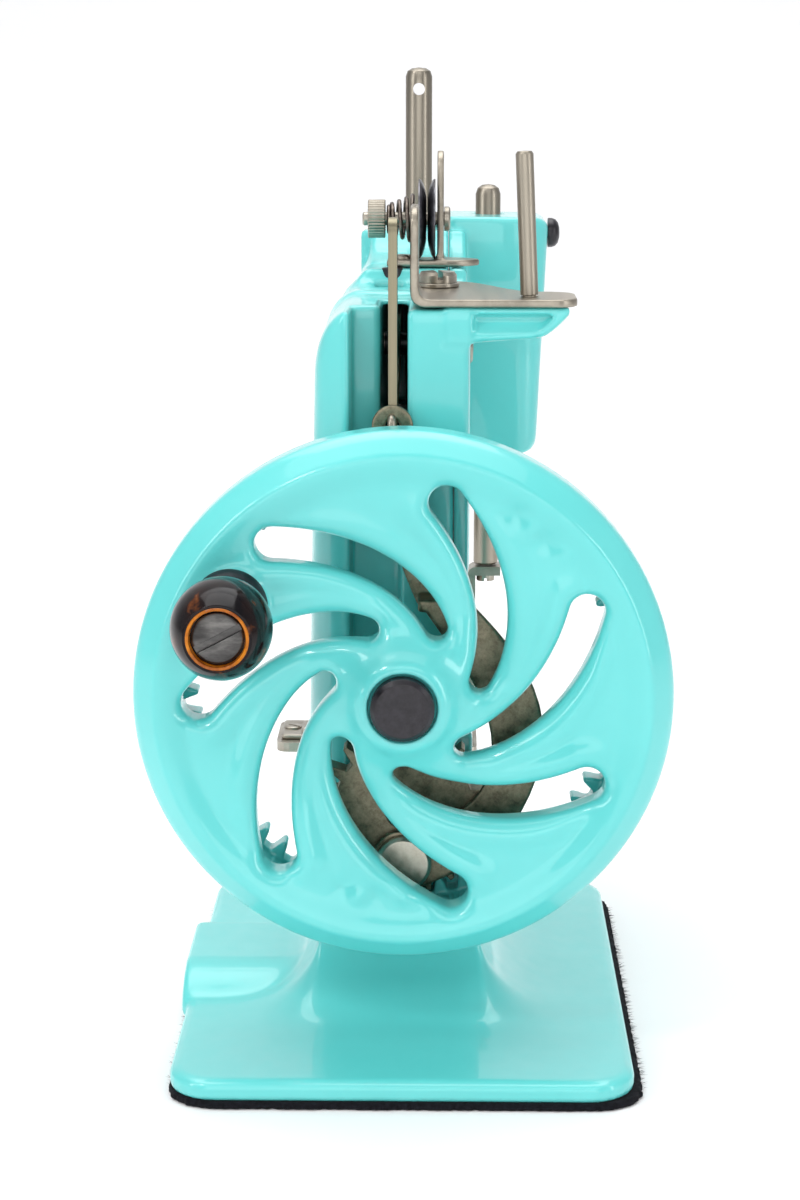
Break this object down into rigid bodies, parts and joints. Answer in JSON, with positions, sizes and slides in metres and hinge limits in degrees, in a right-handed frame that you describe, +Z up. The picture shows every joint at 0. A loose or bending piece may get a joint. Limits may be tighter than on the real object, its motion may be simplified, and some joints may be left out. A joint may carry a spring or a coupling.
{
  "type": "hand-cranked sewing machine",
  "caption": "Small hand-cranked chain-stitch sewing machine with a pinwheel handwheel, exposed gear train, C-shaped arm, bed plate, thread tension unit and spool pin.",
  "frame": {"origin": "middle of the base's underside, on the surface it stands on", "axes": "+X towards the handwheel, -Y towards the person sewing, +Z up"},
  "size_m": [0.172, 0.1036, 0.192],
  "materials": {
    "turquoise_enamel": "high-gloss enamel over cast iron",
    "black_felt": "fibrous felt",
    "blackened_steel": "satin blackened",
    "knob_resin": "dark tortoise resin, polished",
    "bronzed_steel": "aged bronze-grey steel",
    "spring_wire": "dark oiled wire",
    "nickel_plate": "aged nickel plate"
  },
  "bodies": {
    "frame": {"felt_pad": "black_felt", "frame_casting": "turquoise_enamel", "rear_cover": "turquoise_enamel", "head_screw": "blackened_steel", "cover_screw_1": "nickel_plate", "cover_screw_2": "nickel_plate", "hub_stud": "nickel_plate", "hub_cap": "blackened_steel", "shaft_bush": "bronzed_steel", "bed_plate": "nickel_plate", "plate_screw_1": "nickel_plate", "plate_screw_2": "nickel_plate", "edge_guide": "nickel_plate", "edge_guide_screw": "nickel_plate", "needle_bush_upper": "nickel_plate", "needle_bush_lower": "nickel_plate", "lever_pivot_screw": "nickel_plate", "lifter_pivot_screw": "nickel_plate", "spool_bracket": "nickel_plate", "spool_pin": "nickel_plate", "bracket_screw": "nickel_plate", "bracket_washer": "nickel_plate", "tension_bracket": "nickel_plate", "tension_bracket_screw": "nickel_plate", "tension_stud": "nickel_plate", "tension_disc_inner": "blackened_steel", "tension_disc_outer": "blackened_steel", "tension_spring": "spring_wire", "presser_spring": "spring_wire"},
    "wheel": {"handwheel": "turquoise_enamel", "crank_collar": "blackened_steel", "knob_screw": "bronzed_steel"},
    "knob": {"crank_knob": "knob_resin"},
    "pinion": {"pinion": "bronzed_steel", "pinion_shaft": "nickel_plate", "timing_gear_upper": "bronzed_steel", "crank_pin": "bronzed_steel"},
    "rod": {"connecting_rod": "bronzed_steel", "rod_top_pin": "nickel_plate"},
    "looper": {"looper_shaft": "nickel_plate", "looper": "nickel_plate", "feed_cam": "bronzed_steel", "timing_gear_lower": "bronzed_steel"},
    "feed": {"feed_dog": "nickel_plate"},
    "slide_plate": {"slide_plate": "nickel_plate"},
    "needle_bar": {"needle_bar": "nickel_plate", "needle_bar_stud": "nickel_plate", "needle_clamp": "nickel_plate", "needle_clamp_screw": "nickel_plate", "needle": "nickel_plate"},
    "lever": {"needle_lever": "nickel_plate"},
    "presser": {"presser_bar": "nickel_plate", "presser_foot": "nickel_plate", "presser_foot_screw": "nickel_plate", "presser_collar": "nickel_plate"},
    "lifter": {"presser_lifter": "nickel_plate"},
    "tension_nut": {"tension_nut": "nickel_plate"}
  },
  "joints": [
    {"name": "wheel_spin", "type": "hinge", "parent": "frame", "child": "wheel", "pos_m": [0.03, 0, 0.0743], "axis": [1, 0, 0], "continuous": true},
    {"name": "pinion_spin", "type": "hinge", "parent": "frame", "child": "pinion", "pos_m": [0.02, 0, 0.04805], "axis": [1, 0, 0], "continuous": true},
    {"name": "rod_swing", "type": "hinge", "parent": "pinion", "child": "rod", "pos_m": [0.027, 0, 0.03805], "axis": [1, 0, 0], "continuous": true},
    {"name": "looper_spin", "type": "hinge", "parent": "frame", "child": "looper", "pos_m": [-0.03, 0, 0.03005], "axis": [1, 0, 0], "continuous": true},
    {"name": "knob_spin", "type": "hinge", "parent": "wheel", "child": "knob", "pos_m": [0.058, -0.0325, 0.09321], "axis": [1, 0, 0], "continuous": true},
    {"name": "needle_bar_slide", "type": "slide", "parent": "frame", "child": "needle_bar", "axis": [0, 0, 1], "range_m": [-0.022, 0]},
    {"name": "lever_swing", "type": "hinge", "parent": "frame", "child": "lever", "pos_m": [-0.028, -0.0024, 0.135], "axis": [0, -1, 0], "range_deg": [0, 25.8]},
    {"name": "presser_slide", "type": "slide", "parent": "frame", "child": "presser", "axis": [0, 0, 1], "range_m": [0, 0.005], "deforming": ["presser_spring"]},
    {"name": "lifter_swing", "type": "hinge", "parent": "frame", "child": "lifter", "pos_m": [-0.087, 0.0176, 0.1135], "axis": [-1, 0, 0], "range_deg": [0, 90.1]},
    {"name": "feed_slide", "type": "slide", "parent": "frame", "child": "feed", "axis": [0, 1, 0], "range_m": [-0.0012, 0.0012]},
    {"name": "slide_plate_slide", "type": "slide", "parent": "frame", "child": "slide_plate", "axis": [1, 0, 0], "range_m": [-0.01, 0]},
    {"name": "tension_nut_turn", "type": "hinge", "parent": "frame", "child": "tension_nut", "pos_m": [-0.039, -0.0066, 0.1604], "axis": [0, 1, 0], "continuous": true}
  ],
  "couplings": [
    {"joint": "pinion_spin", "follows": "wheel_spin", "ratio": 2.6667},
    {"joint": "rod_swing", "follows": "wheel_spin", "ratio": -2.6667},
    {"joint": "looper_spin", "follows": "wheel_spin", "ratio": -2.6667},
    {"joint": "lever_swing", "follows": "needle_bar_slide", "rad_per_m": -20.46},
    {"joint": "lifter_swing", "follows": "presser_slide", "rad_per_m": 314.16}
  ]
}
